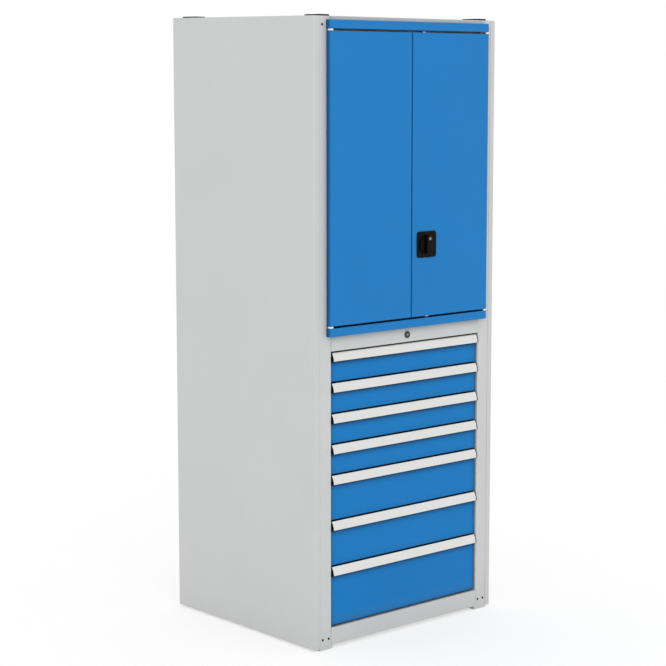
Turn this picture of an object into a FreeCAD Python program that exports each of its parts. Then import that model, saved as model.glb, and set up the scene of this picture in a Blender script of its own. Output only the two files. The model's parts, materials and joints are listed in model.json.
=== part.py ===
import FreeCAD, Part
import os
import Sketcher

# Storage cabinet: sheet steel frame, two doors over seven drawers, all sizes in millimetres.
# The origin is on the floor under the middle of the cabinet, +X to the right, +Y to the back, +Z up.

doc = FreeCAD.newDocument("storage_cabinet")
sheet = doc.addObject("Spreadsheet::Sheet", "Size")
cell_rows = []
nodes = []


class Formula:
    """A length: its number now, and the sheet expression that gives it."""

    def __init__(self, value, text):
        self.value = value
        self.text = text

    def __add__(self, other):
        return Formula(self.value + number(other), f"({self.text} + {text(other)})")

    def __sub__(self, other):
        return Formula(self.value - number(other), f"({self.text} - {text(other)})")

    def __mul__(self, factor):
        return Formula(self.value * number(factor), f"({self.text} * {text(factor)})")

    def __truediv__(self, factor):
        return Formula(self.value / number(factor), f"({self.text} / {text(factor)})")

    def __neg__(self):
        return Formula(-self.value, f"(0 - {self.text})")


def number(amount):
    return amount.value if isinstance(amount, Formula) else float(amount)


def text(amount):
    return amount.text if isinstance(amount, Formula) else repr(amount)


def cell(name, value):
    """Write one driving size into the sheet under its alias."""
    cell_rows.append(name)
    row = len(cell_rows)
    sheet.set(f"A{row}", name)
    sheet.set(f"B{row}", str(value))
    sheet.setAlias(f"B{row}", name)
    return Formula(value, "Size." + name)


# Overall frame
height = cell("height", 2025.0)
frame_width = cell("frame_width", 751.0)
depth = cell("depth", 734.0)
sheet_thickness = cell("sheet_thickness", 1.5)
fold_radius = cell("fold_radius", 2.0)
fit_gap = cell("fit_gap", 0.3)
running_gap = cell("running_gap", 0.05)

# Corner posts, feet and cladding
post_width = cell("post_width", 47.5)
post_depth = cell("post_depth", 80.0)
post_sheet = cell("post_sheet", 2.0)
post_lip = cell("post_lip", 15.0)
post_hole_radius = cell("post_hole_radius", 3.0)
post_hole_outer_inset = cell("post_hole_outer_inset", 11.8)
post_hole_spacing = cell("post_hole_spacing", 24.4)
post_hole_low = cell("post_hole_low", 35.0)
post_hole_below_top = cell("post_hole_below_top", 27.0)
slot_width = cell("slot_width", 14.0)
slot_height = cell("slot_height", 4.0)
foot_height = cell("foot_height", 11.5)
foot_overhang = cell("foot_overhang", 5.0)
side_panel_thickness = cell("side_panel_thickness", 22.0)
side_panel_lift = cell("side_panel_lift", 6.5)
side_panel_bend = cell("side_panel_bend", 4.0)
rear_panel_thickness = cell("rear_panel_thickness", 15.0)
cap_width = cell("cap_width", 46.0)
cap_length = cell("cap_length", 80.0)
cap_thickness = cell("cap_thickness", 5.0)
cap_corner = cell("cap_corner", 12.0)
cap_edge = cell("cap_edge", 1.5)
cap_inset = cell("cap_inset", 8.0)

# Panels between the posts
plinth_height = cell("plinth_height", 56.7)
base_lip = cell("base_lip", 40.0)
rail_height = cell("rail_height", 49.0)
rail_lip = cell("rail_lip", 12.0)
divider_rear_fold = cell("divider_rear_fold", 30.0)
fascia_height = cell("fascia_height", 50.0)
top_reveal = cell("top_reveal", 11.5)
shelf_height = cell("shelf_height", 30.0)
shelf_front_setback = cell("shelf_front_setback", 24.0)
shelf_side_gap = cell("shelf_side_gap", 4.0)
clip_leg = cell("clip_leg", 22.0)
clip_ledge = cell("clip_ledge", 16.0)
clip_width = cell("clip_width", 12.0)
clip_sheet = cell("clip_sheet", 2.0)
clip_tongue = cell("clip_tongue", 4.0)

# Doors and the blue strips above and below them
strip_height = cell("strip_height", 27.8)
strip_depth = cell("strip_depth", 20.4)
door_pair_width = cell("door_pair_width", 695.0)
meeting_gap = cell("meeting_gap", 4.0)
door_end_gap = cell("door_end_gap", 6.0)
door_back_gap = cell("door_back_gap", 2.0)
door_sheet = cell("door_sheet", 1.2)
stiffener_width = cell("stiffener_width", 60.0)
stiffener_setback = cell("stiffener_setback", 3.0)
hinge_inset = cell("hinge_inset", 6.2)
hinge_pin_radius = cell("hinge_pin_radius", 3.0)
hinge_head_size = cell("hinge_head_size", 8.4)
hinge_head_thickness = cell("hinge_head_thickness", 2.0)
hinge_seat = cell("hinge_seat", 14.0)
hinge_block = cell("hinge_block", 11.6)
washer_size = cell("washer_size", 12.0)

# Door knob, its plate and the locking rods
knob_offset = cell("knob_offset", 65.0)
knob_rise = cell("knob_rise", 1292.0)
plate_size = cell("plate_size", 86.0)
plate_thickness = cell("plate_thickness", 3.0)
plate_corner = cell("plate_corner", 9.0)
plate_edge = cell("plate_edge", 1.0)
knob_base_radius = cell("knob_base_radius", 32.0)
knob_base_thickness = cell("knob_base_thickness", 4.0)
wing_width = cell("wing_width", 22.0)
wing_straight = cell("wing_straight", 52.0)
wing_end_radius = cell("wing_end_radius", 14.0)
wing_height = cell("wing_height", 12.0)
wing_edge = cell("wing_edge", 1.5)
key_offset = cell("key_offset", 20.0)
key_radius = cell("key_radius", 7.0)
key_depth = cell("key_depth", 10.0)
key_slot_length = cell("key_slot_length", 8.0)
key_slot_width = cell("key_slot_width", 2.0)
key_slot_depth = cell("key_slot_depth", 1.5)
spindle_radius = cell("spindle_radius", 6.0)
cam_size = cell("cam_size", 28.0)
cam_thickness = cell("cam_thickness", 2.5)
cam_clearance = cell("cam_clearance", 1.5)
crank_offset = cell("crank_offset", 9.0)
crank_pin_radius = cell("crank_pin_radius", 2.5)
crank_slot_gap = cell("crank_slot_gap", 0.6)
rod_width = cell("rod_width", 14.0)
rod_thickness = cell("rod_thickness", 4.0)
rod_tip = cell("rod_tip", 3.0)
rod_hole_gap = cell("rod_hole_gap", 0.5)
yoke_margin = cell("yoke_margin", 3.0)

# Drawers
drawer_low_pitch = cell("drawer_low_pitch", 100.0)
drawer_middle_pitch = cell("drawer_middle_pitch", 150.0)
drawer_high_pitch = cell("drawer_high_pitch", 200.0)
drawer_gap = cell("drawer_gap", 4.0)
drawer_side_gap = cell("drawer_side_gap", 3.0)
drawer_recess = cell("drawer_recess", 6.0)
drawer_front_depth = cell("drawer_front_depth", 16.0)
drawer_sheet = cell("drawer_sheet", 1.2)
lock_space = cell("lock_space", 76.8)
tray_lift = cell("tray_lift", 6.0)
tray_below_top = cell("tray_below_top", 14.0)
runner_space = cell("runner_space", 22.0)
runner_height = cell("runner_height", 36.0)
runner_sheet = cell("runner_sheet", 2.0)
runner_flange = cell("runner_flange", 9.5)
runner_rise = cell("runner_rise", 26.0)
runner_rear_gap = cell("runner_rear_gap", 32.0)
runner_setback = cell("runner_setback", 26.0)
carriage_setback = cell("carriage_setback", 60.0)
carriage_flange = cell("carriage_flange", 3.0)
carriage_web = cell("carriage_web", 5.0)
carriage_side_gap = cell("carriage_side_gap", 0.5)

# Drawer grips
grip_height = cell("grip_height", 28.5)
grip_reach = cell("grip_reach", 12.0)
grip_wall = cell("grip_wall", 2.0)
grip_top_depth = cell("grip_top_depth", 9.0)
grip_radius = cell("grip_radius", 46.0)
grip_lip = cell("grip_lip", 4.0)
grip_cap_width = cell("grip_cap_width", 3.0)
grip_cap_rim = cell("grip_cap_rim", 0.6)

# Drawer lock and the bar that it lifts behind the drawers
lock_head_radius = cell("lock_head_radius", 11.0)
lock_head_thickness = cell("lock_head_thickness", 2.5)
lock_housing_radius = cell("lock_housing_radius", 9.5)
lock_housing_length = cell("lock_housing_length", 22.0)
lock_plug_radius = cell("lock_plug_radius", 7.5)
lock_rise = cell("lock_rise", 24.0)
lock_shaft_radius = cell("lock_shaft_radius", 4.0)
lock_crank_size = cell("lock_crank_size", 19.6)
lock_crank_thickness = cell("lock_crank_thickness", 3.0)
lock_crank_offset = cell("lock_crank_offset", 5.5)
lock_bar_width = cell("lock_bar_width", 36.0)
lock_bar_thickness = cell("lock_bar_thickness", 3.0)
lock_bar_head = cell("lock_bar_head", 9.0)
hook_width = cell("hook_width", 24.0)
hook_sheet = cell("hook_sheet", 3.0)
hook_lip = cell("hook_lip", 10.0)
hook_clearance = cell("hook_clearance", 2.0)
hook_pitch = cell("hook_pitch", 6.0)
hook_drop = cell("hook_drop", 20.0)
hook_length = cell("hook_length", 36.0)
strap_sheet = cell("strap_sheet", 2.0)
strap_gap = cell("strap_gap", 0.4)
strap_height = cell("strap_height", 12.0)
strap_drop = cell("strap_drop", 100.0)

# Levelling screws
screw_radius = cell("screw_radius", 5.0)
screw_length = cell("screw_length", 60.0)
screw_side_inset = cell("screw_side_inset", 40.0)
screw_rear_inset = cell("screw_rear_inset", 22.0)

# Counts and plain numbers that are not lengths
slot_count = 18
upper_shelf_slot = 12
lower_shelf_slot = 6
slots_left_out = 2
half = 0.5
straight_share = 1e-6
carriage_length_share = 0.68

# Places worked out from the sizes above
zero = Formula(0.0, "0")
half_frame = frame_width * half
half_opening = half_frame - post_width
half_pair = door_pair_width * half
door_thickness = strip_depth - door_back_gap
projection = strip_depth + plate_thickness + fit_gap + knob_base_thickness + wing_height
front = (projection - depth) * half
rear = front + depth
plinth_top = foot_height + plinth_height
pitches = [drawer_low_pitch] * 4 + [drawer_middle_pitch] * 2 + [drawer_high_pitch]
drawer_tops = []
next_top = plinth_top
for pitch in reversed(pitches):
    next_top = next_top + pitch
    drawer_tops.insert(0, next_top)
rail_bottom = drawer_tops[0] + drawer_gap
footer_bottom = rail_bottom + rail_height
floor_top = footer_bottom + strip_height
door_bottom = floor_top + door_end_gap
header_bottom = height - top_reveal - strip_height
door_height = header_bottom - door_end_gap - door_bottom
door_back = front - door_back_gap
door_front = front - strip_depth
hinge_x = half_pair - hinge_inset
hinge_y = door_front + hinge_inset
lock_z = rail_bottom + lock_rise
rear_inside = rear - rear_panel_thickness
slot_pitch = (height - floor_top) / (slot_count + slots_left_out)
tray_half = half_opening - runner_space
drawer_fold_back = front + drawer_recess + drawer_front_depth
tray_front = front + drawer_recess + drawer_sheet
tray_depth = rear_inside - lock_space - tray_front
runner_length = depth - runner_setback - runner_rear_gap
carriage_length = tray_depth * carriage_length_share


def origin_plane(body, role):
    return next(item for item in body.Origin.OriginFeatures if item.Role == role)


def bind(item, name, amount):
    item.setExpression(name, text(amount))


def place(item, x, y, z):
    """Tie a piece's position to the sheet."""
    for axis, amount in zip("xyz", (x, y, z)):
        bind(item, ".Placement.Base." + axis, amount)
    return item


def node(item, label):
    """Name a finished piece, so that it is written to a file of its own."""
    item.Label = label
    nodes.append(item)
    return item


def new_body(name):
    return doc.addObject("PartDesign::Body", name)


def new_sketch(body, plane, offset):
    sketch = body.newObject("Sketcher::SketchObject", body.Name + "_sketch")
    sketch.AttachmentSupport = [(origin_plane(body, plane), "")]
    sketch.MapMode = "FlatFace"
    if offset is not None:
        bind(sketch, ".AttachmentOffset.Base.z", offset)
    return sketch


def arc_between(start, end, radius, left):
    """An arc from start to end with its centre on the left or right of the chord."""
    chord = end - start
    middle = (start + end) * half
    rise = (radius * radius - chord.Length * chord.Length * half * half) ** half
    normal = FreeCAD.Vector(-chord.y, chord.x, 0).normalize()
    side = 1 if left else -1
    crest = middle + normal * ((rise - radius) * side)
    return Part.Arc(start, crest, end) if left else Part.Arc(end, crest, start)


def outline(sketch, points, arcs=None):
    """Draw a closed outline; arcs maps a side's number to its radius and the side of its centre."""
    arcs = arcs or {}
    corners = [FreeCAD.Vector(number(a), number(b), 0) for a, b in points]
    count = len(corners)
    first = sketch.GeometryCount
    ends = []
    for index, start in enumerate(corners):
        end = corners[(index + 1) % count]
        if index in arcs:
            radius, left = arcs[index]
            sketch.addGeometry(arc_between(start, end, number(radius), left))
            ends.append((1, 2) if left else (2, 1))
        else:
            sketch.addGeometry(Part.LineSegment(start, end))
            ends.append((1, 2))
    for index in range(count):
        after = (index + 1) % count
        link = Sketcher.Constraint("Coincident", first + index, ends[index][1], first + after, ends[after][0])
        sketch.addConstraint(link)
    for index, (a, b) in enumerate(points):
        hold(sketch, "DistanceX", (-1, 1, first + index, ends[index][0]), a)
        hold(sketch, "DistanceY", (-1, 1, first + index, ends[index][0]), b)
    for index, (radius, left) in arcs.items():
        hold(sketch, "Radius", (first + index,), radius)


def hold(sketch, kind, where, amount):
    """Add one driving constraint and tie it to the sheet."""
    index = sketch.addConstraint(Sketcher.Constraint(kind, *where, number(amount)))
    if isinstance(amount, Formula):
        bind(sketch, f"Constraints[{index}]", amount)


def rectangle(sketch, a, b):
    outline(sketch, [(a[0], b[0]), (a[1], b[0]), (a[1], b[1]), (a[0], b[1])])


def circle(sketch, a, b, radius):
    centre = FreeCAD.Vector(number(a), number(b), 0)
    index = sketch.addGeometry(Part.Circle(centre, FreeCAD.Vector(0, 0, 1), number(radius)))
    hold(sketch, "DistanceX", (-1, 1, index, 3), a)
    hold(sketch, "DistanceY", (-1, 1, index, 3), b)
    hold(sketch, "Radius", (index,), radius)


def grow(body, kind, sketch, length, backward):
    feature = body.newObject("PartDesign::" + kind, body.Name + "_" + kind.lower())
    feature.Profile = sketch
    feature.Reversed = backward
    bind(feature, "Length", length)
    return feature


def pad(body, sketch, length, backward=False):
    return grow(body, "Pad", sketch, length, backward)


def pocket(body, sketch, depth_of_cut, backward=False):
    """Cut into the body, and make sure that the cut took something away."""
    doc.recompute()
    before = body.Shape.Volume
    feature = grow(body, "Pocket", sketch, depth_of_cut, backward)
    doc.recompute()
    if body.Shape.Volume >= before:
        raise RuntimeError(body.Name + ": the pocket cuts nothing")
    return feature


def dress_edges(body, kind, wanted):
    """Fillet or chamfer the edges of the last feature that are wanted, going by their middle points."""
    doc.recompute()
    tip = body.Tip
    names = []
    for index, edge in enumerate(tip.Shape.Edges, 1):
        if wanted(edge.CenterOfMass, edge):
            names.append(f"Edge{index}")
    feature = body.newObject("PartDesign::" + kind, body.Name + "_" + kind.lower())
    feature.Base = (tip, names)
    return feature


def round_edges(body, radius, wanted):
    bind(dress_edges(body, "Fillet", wanted), "Radius", radius)


def chamfer_edges(body, size, wanted):
    bind(dress_edges(body, "Chamfer", wanted), "Size", size)


def fold_front(body, front_y):
    """Round the bends round the front face of a folded piece."""
    at_front = lambda middle, edge: abs(middle.y - number(front_y)) < number(running_gap)
    round_edges(body, fold_radius, at_front)


def upright(edge):
    """Whether an edge runs straight up."""
    return abs(abs(edge.tangentAt(edge.FirstParameter).z) - 1) < straight_share


def front_to_back(edge):
    """Whether an edge runs straight from front to back."""
    return abs(abs(edge.tangentAt(edge.FirstParameter).y) - 1) < straight_share


def tray(body, plane, a, b, deep, wall, backward=False):
    """A folded tray: its open side lies on the plane and its sheet at the far end."""
    shell = new_sketch(body, plane, None)
    rectangle(shell, a, b)
    pad(body, shell, deep, backward)
    hollow = new_sketch(body, plane, None)
    rectangle(hollow, (a[0] + wall, a[1] - wall), (b[0] + wall, b[1] - wall))
    pocket(body, hollow, deep - wall, not backward)


def channel(body, y_length, points):
    """A bar of constant section: the outline is drawn in X and Z and run to the back."""
    section = new_sketch(body, "XZ_Plane", None)
    outline(section, points)
    pad(body, section, y_length, True)


def copy_of(body, x, y, z):
    link = doc.addObject("App::Link", body.Name + "_copy")
    link.LinkedObject = body
    return place(link, x, y, z)


def group(label, pieces):
    """Identical pieces that share a file, each still a solid of its own."""
    bundle = doc.addObject("Part::Compound", label)
    bundle.Links = pieces
    return node(bundle, label)


def mirrored(label, source, normal, base_y=None):
    copy = doc.addObject("Part::Mirroring", label)
    copy.Source = source
    copy.Normal = normal
    if base_y is not None:
        bind(copy, "Base.y", base_y)
    return node(copy, label)


# Corner posts
def make_posts():
    """A lipped post on a foot, with screw holes in front and shelf slots inside; four mirrored copies."""
    body = new_body("front_left_post")
    section = new_sketch(body, "XY_Plane", None)
    inner = post_depth - post_sheet
    far = -post_width
    points = [(zero, zero), (zero, post_depth), (-post_lip, post_depth), (-post_lip, inner)]
    points += [(-post_sheet, inner), (-post_sheet, post_sheet)]
    points += [(far + post_sheet, post_sheet), (far + post_sheet, inner)]
    points += [(far + post_lip, inner), (far + post_lip, post_depth), (far, post_depth), (far, zero)]
    outline(section, points)
    post_height = height - sheet_thickness - foot_height
    pad(body, section, post_height)
    at_bend = lambda middle, edge: upright(edge) and abs(middle.y) < number(running_gap)
    round_edges(body, fold_radius, at_bend)
    foot = new_sketch(body, "XY_Plane", None)
    rectangle(foot, (far, foot_overhang), (zero, post_depth))
    pad(body, foot, foot_height, True)
    holes = new_sketch(body, "XZ_Plane", None)
    outer_hole = far + post_hole_outer_inset
    low = post_hole_low - foot_height
    circle(holes, outer_hole, low, post_hole_radius)
    circle(holes, outer_hole + post_hole_spacing, low, post_hole_radius)
    circle(holes, outer_hole, height - post_hole_below_top - foot_height, post_hole_radius)
    pocket(body, holes, post_sheet)
    slot = new_sketch(body, "YZ_Plane", None)
    slot_start = (post_depth - slot_width) * half
    slot_low = floor_top + slot_pitch - foot_height
    rectangle(slot, (slot_start, slot_start + slot_width), (slot_low, slot_low + slot_height))
    first_slot = pocket(body, slot, post_sheet)
    row = body.newObject("PartDesign::LinearPattern", "shelf_slots")
    row.Originals = [first_slot]
    row.Direction = (slot, ["V_Axis"])
    bind(row, "Length", slot_pitch * (slot_count - 1))
    row.Occurrences = slot_count
    body.Tip = row
    node(place(body, -half_opening, front, foot_height), "front_left_post")
    across = FreeCAD.Vector(1, 0, 0)
    back = FreeCAD.Vector(0, 1, 0)
    middle_y = front + depth * half
    mirrored("front_right_post", body, across)
    rear_left = mirrored("rear_left_post", body, back, middle_y)
    mirrored("rear_right_post", rear_left, across)


# Cladding and panels
def make_side_panels():
    """A folded tray that clads each side, with its bends rounded."""
    body = new_body("left_side_panel")
    tray(body, "YZ_Plane", (zero, depth), (zero, height - side_panel_lift), side_panel_thickness,
         sheet_thickness, True)
    outside = -number(side_panel_thickness)
    round_edges(body, side_panel_bend,
                lambda middle, edge: upright(edge) and abs(middle.x - outside) < number(fit_gap))
    node(place(body, -half_frame, front, side_panel_lift), "left_side_panel")
    mirrored("right_side_panel", body, FreeCAD.Vector(1, 0, 0))


def make_rear_panel():
    """The back tray, with two welded straps in which the lock bar slides."""
    body = new_body("rear_panel")
    side = half_opening - fit_gap
    top = height - sheet_thickness - foot_height
    tray(body, "XZ_Plane", (-side, side), (zero, top), rear_panel_thickness, sheet_thickness, True)
    inner = lock_bar_width * half + strap_gap
    outer = inner + strap_sheet
    deep = rear_panel_thickness - sheet_thickness
    near = -fit_gap - lock_bar_thickness - strap_gap
    for drawer_top in (drawer_tops[1], drawer_tops[5]):
        strap = new_sketch(body, "XY_Plane", drawer_top - strap_drop - foot_height)
        points = [(-outer, deep), (-outer, near - strap_sheet), (outer, near - strap_sheet), (outer, deep)]
        points += [(inner, deep), (inner, near), (-inner, near), (-inner, deep)]
        outline(strap, points)
        pad(body, strap, strap_height)
    node(place(body, zero, rear_inside, foot_height), "rear_panel")


def make_top_panel():
    """The lid sheet on the posts, with a fold that shows above the header."""
    body = new_body("top_panel")
    lid = new_sketch(body, "XY_Plane", None)
    rectangle(lid, (-half_frame, half_frame), (zero, depth))
    pad(body, lid, sheet_thickness)
    fold = new_sketch(body, "XY_Plane", None)
    side = half_opening - fit_gap
    rectangle(fold, (-side, side), (zero, sheet_thickness))
    pad(body, fold, fascia_height, True)
    node(place(body, zero, front, height - sheet_thickness), "top_panel")


def folded_floor(label, front_fold, front_lip, rear_fold, rear_lip, top):
    """A floor sheet with a front and a rear fold, each ending in a lip."""
    body = new_body(label)
    section = new_sketch(body, "YZ_Plane", None)
    back = depth - rear_panel_thickness
    wall = sheet_thickness
    points = [(front_lip, -front_fold), (zero, -front_fold), (zero, zero), (back, zero)]
    points += [(back, -rear_fold), (back - rear_lip, -rear_fold), (back - rear_lip, wall - rear_fold)]
    points += [(back - wall, wall - rear_fold), (back - wall, -wall), (wall, -wall)]
    points += [(wall, wall - front_fold), (front_lip, wall - front_fold)]
    outline(section, points)
    pad(body, section, (half_opening - fit_gap) * 2)
    place(body, fit_gap - half_opening, front, top)
    return body


def make_base_panel():
    """Floor under the lowest drawer; its front fold is the plinth, its rear lip takes the screws."""
    body = folded_floor("base_panel", plinth_height, base_lip, plinth_height, base_lip, plinth_top)
    holes = new_sketch(body, "XY_Plane", -plinth_height)
    width = (half_opening - fit_gap) * 2
    y = depth - rear_panel_thickness - screw_rear_inset
    circle(holes, screw_side_inset, y, screw_radius + running_gap)
    circle(holes, width - screw_side_inset, y, screw_radius + running_gap)
    pocket(body, holes, sheet_thickness, True)
    node(body, "base_panel")


def make_divider():
    """Cupboard floor; its front fold is the rail that holds the drawer lock."""
    fold = rail_height + strip_height
    body = folded_floor("divider_panel", fold, rail_lip, divider_rear_fold, rail_lip, floor_top)
    hole = new_sketch(body, "XZ_Plane", None)
    circle(hole, half_opening - fit_gap, lock_z - floor_top, lock_housing_radius + running_gap)
    pocket(body, hole, sheet_thickness)
    node(body, "divider_panel")


def make_corner_caps():
    """Black pads on the four corners of the lid."""
    body = new_body("corner_cap")
    pad_outline = new_sketch(body, "XY_Plane", None)
    rectangle(pad_outline, (zero, cap_width), (zero, cap_length))
    pad(body, pad_outline, cap_thickness)
    round_edges(body, cap_corner, lambda middle, edge: upright(edge))
    top = number(cap_thickness)
    chamfer_edges(body, cap_edge, lambda middle, edge: abs(middle.z - top) < number(running_gap))
    left = cap_inset - half_frame
    right = half_frame - cap_inset - cap_width
    near = front + cap_inset
    far = rear - cap_inset - cap_length
    place(body, left, near, height)
    copies = [copy_of(body, x, y, height) for x, y in ((right, near), (left, far), (right, far))]
    group("corner_caps", [body] + copies)


def make_shelves():
    """Two adjustable shelves, open underneath, on clips that hang in the post slots."""
    side = half_opening - shelf_side_gap
    back = depth - rear_panel_thickness - fit_gap
    near = post_depth * half - clip_width * half
    far = depth - post_depth * half - clip_width * half
    clip = new_body("shelf_clip")
    low = -clip_leg
    points = [(-clip_tongue, -clip_sheet), (-clip_tongue, zero), (clip_ledge, zero)]
    points += [(clip_ledge, -clip_sheet), (clip_sheet, -clip_sheet), (clip_sheet, low), (zero, low)]
    points += [(zero, -clip_sheet)]
    channel(clip, clip_width, points)
    opposite = new_body("shelf_clip_right")
    channel(opposite, clip_width, [(-x, z) for x, z in points])
    clips = []
    for label, slot_number in (("shelf_upper", upper_shelf_slot), ("shelf_lower", lower_shelf_slot)):
        rise = slot_pitch * slot_number + (slot_height + clip_sheet) * half
        body = new_body(label)
        tray(body, "XY_Plane", (-side, side), (shelf_front_setback, back), shelf_height, sheet_thickness)
        node(place(body, zero, front, floor_top + rise), label)
        for y in (near, far):
            for source, x in ((clip, -half_opening), (opposite, half_opening)):
                clips.append(copy_of(source, x, front + y, floor_top + rise))
    group("shelf_clips", clips)


# Doors
def make_strip(label, bottom, hole_level, rod_x):
    """A blue strip that carries the door pins and takes the end of a locking rod."""
    body = new_body(label)
    tray(body, "XZ_Plane", (-half_pair, half_pair), (zero, strip_height), strip_depth, sheet_thickness)
    fold_front(body, -strip_depth)
    holes = new_sketch(body, "XY_Plane", hole_level)
    y = hinge_inset - strip_depth
    circle(holes, -hinge_x, y, hinge_pin_radius + running_gap)
    circle(holes, hinge_x, y, hinge_pin_radius + running_gap)
    rod_hole(holes, rod_x, rod_back - front)
    pocket(body, holes, sheet_thickness, True)
    node(place(body, zero, front, bottom), label)


def rod_hole(sketch, rod_x, back):
    reach = rod_width * half + rod_hole_gap
    near = back - rod_thickness - rod_hole_gap
    rectangle(sketch, (rod_x - reach, rod_x + reach), (near, back + rod_hole_gap))


def make_door(label, inner, outer, pin_x, rods):
    """A folded door with a vertical stiffener and a bored block at each pin."""
    body = new_body(label)
    low_x, high_x = (outer, inner) if outer.value < inner.value else (inner, outer)
    tray(body, "XZ_Plane", (low_x, high_x), (zero, door_height), door_thickness, door_sheet)
    fold_front(body, -door_thickness)
    sheet_back = door_sheet - door_thickness
    middle = (inner + outer) * half
    stiffener = new_sketch(body, "XY_Plane", None)
    a = middle - stiffener_width * half
    b = middle + stiffener_width * half
    back = -stiffener_setback
    wall = door_sheet
    points = [(a, sheet_back), (a + wall, sheet_back), (a + wall, back - wall), (b - wall, back - wall)]
    points += [(b - wall, sheet_back), (b, sheet_back), (b, back), (a, back)]
    outline(stiffener, points)
    pad(body, stiffener, door_height)
    reach = hinge_block * half
    pin_y = hinge_inset - door_thickness
    for level, downward in ((zero, False), (door_height, True)):
        block = new_sketch(body, "XY_Plane", level)
        rectangle(block, (pin_x - reach, pin_x + reach), (pin_y - reach, pin_y + reach))
        pad(body, block, hinge_seat, downward)
        bore = new_sketch(body, "XY_Plane", level)
        circle(bore, pin_x, pin_y, hinge_pin_radius + running_gap)
        pocket(body, bore, hinge_seat, not downward)
    for rod_x, level, downward in rods:
        hole = new_sketch(body, "XY_Plane", level)
        rod_hole(hole, rod_x, rod_back - door_back)
        pocket(body, hole, door_sheet, not downward)
    if rods:
        spindle = new_sketch(body, "XZ_Plane", door_thickness)
        circle(spindle, knob_offset, knob_rise - door_bottom, spindle_radius + running_gap)
        pocket(body, spindle, door_sheet)
    node(place(body, zero, door_back, door_bottom), label)


cam_front = door_front + door_sheet + cam_clearance
rod_front = cam_front + cam_thickness + fit_gap
rod_back = rod_front + rod_thickness
upper_rod_x = knob_offset - crank_offset
lower_rod_x = knob_offset + crank_offset


def make_doors():
    inner = meeting_gap * half
    make_door("left_door", -inner, -half_pair, -hinge_x, [])
    rods = [(upper_rod_x, door_height, True), (lower_rod_x, zero, False)]
    make_door("right_door", inner, half_pair, hinge_x, rods)
    make_strip("door_header", header_bottom, zero, upper_rod_x)
    make_strip("door_footer", footer_bottom, strip_height - sheet_thickness, lower_rod_x)


def disc(body, offset, radius, length, backward=False, centre=(0.0, 0.0)):
    """A round boss on a plane that faces the front."""
    sketch = new_sketch(body, "XZ_Plane", offset)
    circle(sketch, centre[0], centre[1], radius)
    return pad(body, sketch, length, backward)


def centred_square(sketch, size):
    reach = size * half
    rectangle(sketch, (-reach, reach), (-reach, reach))


def make_hinge_pins():
    """Square-headed pins that hang the doors, with a white spacer in each gap."""
    reach = door_end_gap + hinge_seat - fit_gap
    lower = new_body("lower_hinge_pin")
    upper = new_body("upper_hinge_pin")
    for body, upward in ((lower, True), (upper, False)):
        shaft = new_sketch(body, "XY_Plane", None)
        circle(shaft, zero, zero, hinge_pin_radius)
        pad(body, shaft, reach + sheet_thickness, not upward)
        head = new_sketch(body, "XY_Plane", None)
        centred_square(head, hinge_head_size)
        pad(body, head, hinge_head_thickness, upward)
    low = floor_top - sheet_thickness
    high = header_bottom + sheet_thickness
    place(lower, -hinge_x, hinge_y, low)
    place(upper, -hinge_x, hinge_y, high)
    group("hinge_pins", [lower, upper, copy_of(lower, hinge_x, hinge_y, low),
                         copy_of(upper, hinge_x, hinge_y, high)])
    washer = new_body("hinge_washer")
    ring = new_sketch(washer, "XY_Plane", None)
    centred_square(ring, washer_size)
    circle(ring, zero, zero, hinge_pin_radius + running_gap)
    pad(washer, ring, door_end_gap - fit_gap * 2)
    low = floor_top + fit_gap
    high = header_bottom - door_end_gap + fit_gap
    place(washer, -hinge_x, hinge_y, low)
    copies = [copy_of(washer, x, hinge_y, z) for x, z in ((hinge_x, low), (-hinge_x, high), (hinge_x, high))]
    group("hinge_washers", [washer] + copies)


# Knob and locking rods
def key_slot(body, offset):
    """The slot for a key in the face of a lock plug."""
    slot = new_sketch(body, "XZ_Plane", offset)
    wide = key_slot_width * half
    tall = key_slot_length * half
    rectangle(slot, (-wide, wide), (-tall, tall))
    pocket(body, slot, key_slot_depth)


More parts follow.
